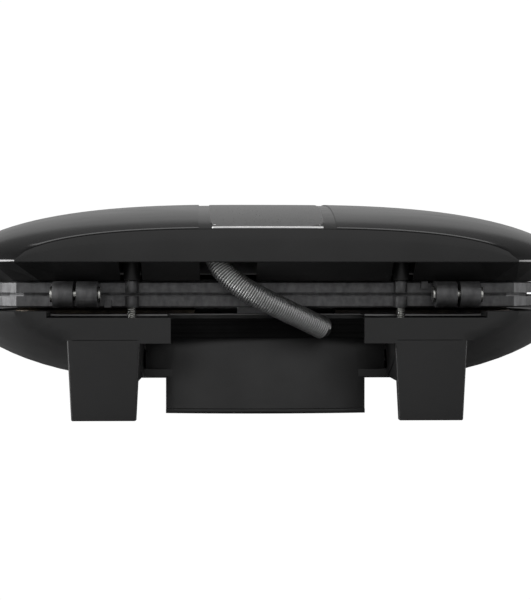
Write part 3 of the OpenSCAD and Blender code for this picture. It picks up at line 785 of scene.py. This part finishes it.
MATERIALS = {
    "black_shell": moulded("satin_black", 0.019, 0.36, 0.46),
    "gloss_lid": polished("gloss_black", 0.006, 0.15),
    # dark_inner: the shell's black plastic at half its tone, painted shade for the parts deep inside
    "dark_inner": moulded("inner_black_painted_shade", 0.009, 0.42, 0.55),
    # recess: a near-black tone, painted shade for the baffle deep in the notch
    "recess": moulded("recess_black_painted_shade", 0.003, 0.6, 0.8, specular=0.12),
    "cast_plate": cast("cast_grey", 0.10, 0.17, 0.75, 0.42, 0.6),
    # sheet_steel: pressed steel, its tone kept low as painted shade for the reflectors deep inside
    "sheet_steel": metal("pressed_sheet_painted_shade", (0.2, 0.2, 0.2), 0.3, 0.48, (1, 6, 1), 160),
    "element_steel": heated("element_sheath"),
    "inlay_steel": metal("brushed_inlay", (0.3, 0.3, 0.3), 0.26, 0.38, (1, 0.03, 1), 2600, 0.000004),
    "chrome_trim": metal("bright_edge", (0.85, 0.85, 0.85), 0.08, 0.16, (1, 1, 1), 200, 0.000002),
    "spring_steel": metal("spring_wire", (0.5, 0.5, 0.5), 0.36, 0.5, (1, 1, 1), 700, 0.000004),
    "zinc_screw": metal("zinc", (0.66, 0.66, 0.63), 0.2, 0.38, (1, 1, 1), 500, 0.00001),
    "ceramic": moulded("steatite", 0.72, 0.5, 0.7),
    "brass_tag": metal("brass_sheet", (0.72, 0.56, 0.28), 0.25, 0.4, (1, 5, 1), 300),
    "soft_rubber": moulded("rubber_black", 0.016, 0.6, 0.8, 0.00004),
    "lens_red": lens_material("lens_dark_red"),
    "lamp_glass": new_material("neon_glass", (0.8, 0.6, 0.5), 0.08)[0],
    "wire_sheath": moulded("braid_sheath", 0.42, 0.6, 0.8, 0.00006),
}


def paint(piece, slot):
    """Gives a piece one material."""
    piece.data.materials.clear()
    piece.data.materials.append(MATERIALS[slot])


def paint_all():
    """Gives every CAD node the material of its slot, and the baffle deep in the notch a darker, duller
    black as painted shade.
    """
    for entry in frame["record"]["subparts"]:
        paint(nodes[entry["node"]], entry["material_slot"])
    paint(nodes["rear_baffle"], "recess")


# ---------- camera, light, floor ----------
SEEN_WHITE = 1.02


def look_at(thing, target):
    """Turns a camera or lamp towards a point."""
    thing.rotation_euler = (Vector(target) - thing.location).to_track_quat("-Z", "Y").to_euler()


def make_camera():
    """Behind the toaster, at the height of its hinge, a little towards +X."""
    lens = bpy.data.cameras.new("camera")
    lens.lens = 86.7
    camera = bpy.data.objects.new("camera", lens)
    bpy.context.scene.collection.objects.link(camera)
    camera.location = (0.0163, 0.655, 0.0492)
    look_at(camera, (0.0009, REAR_Y * MM, 0.0448))
    lens.clip_start = 0.01
    bpy.context.scene.camera = camera


def area_light(name, place, target, size, power):
    """A rectangular lamp that the camera doesn't see."""
    light = bpy.data.lights.new(name, "AREA")
    light.shape = "RECTANGLE"
    light.size, light.size_y = size
    light.energy = power
    lamp = bpy.data.objects.new(name, light)
    bpy.context.scene.collection.objects.link(lamp)
    lamp.location = place
    look_at(lamp, target)
    lamp.visible_camera = False


def split_rays(tree, output, seen, lit):
    """Shows one shader to the camera, and the other to every other ray."""
    out = tree.nodes.new(output)
    mix = tree.nodes.new("ShaderNodeMixShader")
    ray = tree.nodes.new("ShaderNodeLightPath")
    tree.links.new(ray.outputs["Is Camera Ray"], mix.inputs["Fac"])
    tree.links.new(lit.outputs[0], mix.inputs[1])
    tree.links.new(seen.outputs[0], mix.inputs[2])
    tree.links.new(mix.outputs[0], out.inputs["Surface"])


def make_floor():
    """A pale floor, white to the camera and dim in reflections."""
    reach = 3000
    corners = [(-reach, -reach, 0), (reach, -reach, 0), (reach, reach, 0), (-reach, reach, 0)]
    floor = mesh_object("floor", corners, [(0, 1, 2, 3)], smooth=False)
    material = bpy.data.materials.new("pale_floor")
    material.use_nodes = True
    tree = material.node_tree
    tree.nodes.clear()
    seen = tree.nodes.new("ShaderNodeEmission")
    seen.inputs["Strength"].default_value = SEEN_WHITE
    lit = tree.nodes.new("ShaderNodeBsdfDiffuse")
    lit.inputs["Color"].default_value = (0.35, 0.35, 0.35, 1)
    split_rays(tree, "ShaderNodeOutputMaterial", seen, lit)
    floor.data.materials.append(material)


def make_world():
    """A backdrop that is white to the camera and gives everything else a dim even light."""
    world = bpy.data.worlds.new("studio")
    bpy.context.scene.world = world
    world.use_nodes = True
    tree = world.node_tree
    tree.nodes.clear()
    seen, lit = (tree.nodes.new("ShaderNodeBackground") for _ in range(2))
    for shader, strength in ((seen, SEEN_WHITE), (lit, 0.16)):
        shader.inputs["Color"].default_value = (1, 1, 1, 1)
        shader.inputs["Strength"].default_value = strength
    split_rays(tree, "ShaderNodeOutputWorld", seen, lit)


def make_lights():
    """A broad top light, side panels for the lid's shoulders, a low panel in front of the toaster for its
    crest, and a wide soft fill behind the camera."""
    middle = (0, 0.06, 0.05)
    area_light("top", (0, -0.15, 1.1), middle, (1.2, 0.9), 5)
    area_light("front_panel", (0, -1.7, 0.6), middle, (3.2, 0.8), 1.6)
    area_light("left_panel", (1.1, 0.1, 0.27), middle, (0.7, 0.5), 13)
    area_light("right_panel", (-1.1, 0.1, 0.27), middle, (0.7, 0.5), 5)
    area_light("fill", (0.1, 2.2, 0.9), middle, (3.2, 1.8), 12)


# ---------- putting it together ----------
make_camera()
make_floor()
make_world()
make_lights()
paint_all()

made = [make_lid(), make_lid_bosses(), make_base(), make_base_rim(), *make_base_posts(), *make_sleeve(),
        *make_screws(), *make_inlay(), make_lens(), make_side_bead()]
for piece in made:
    paint(piece, piece["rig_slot"])

EDGES = {
    "cord_wrap_panel": 0.35, "latch_clip": 0.5, "lower_plate": 0.35, "upper_plate": 0.35,
    "rear_baffle": 0.2, "hinge_pin_left": 0.25, "hinge_pin_right": 0.25, "lower_reflector": 0.12,
    "upper_reflector": 0.12, "foot_pads": 0.3, "lead_gland": 0.3, "thermostat": 0.3,
    "terminal_block": 0.3, "lid_ring": 0.2,
}
for node, width in EDGES.items():
    bevel(nodes[node], width, angle=30)

bpy.context.scene.view_settings.view_transform = "Standard"
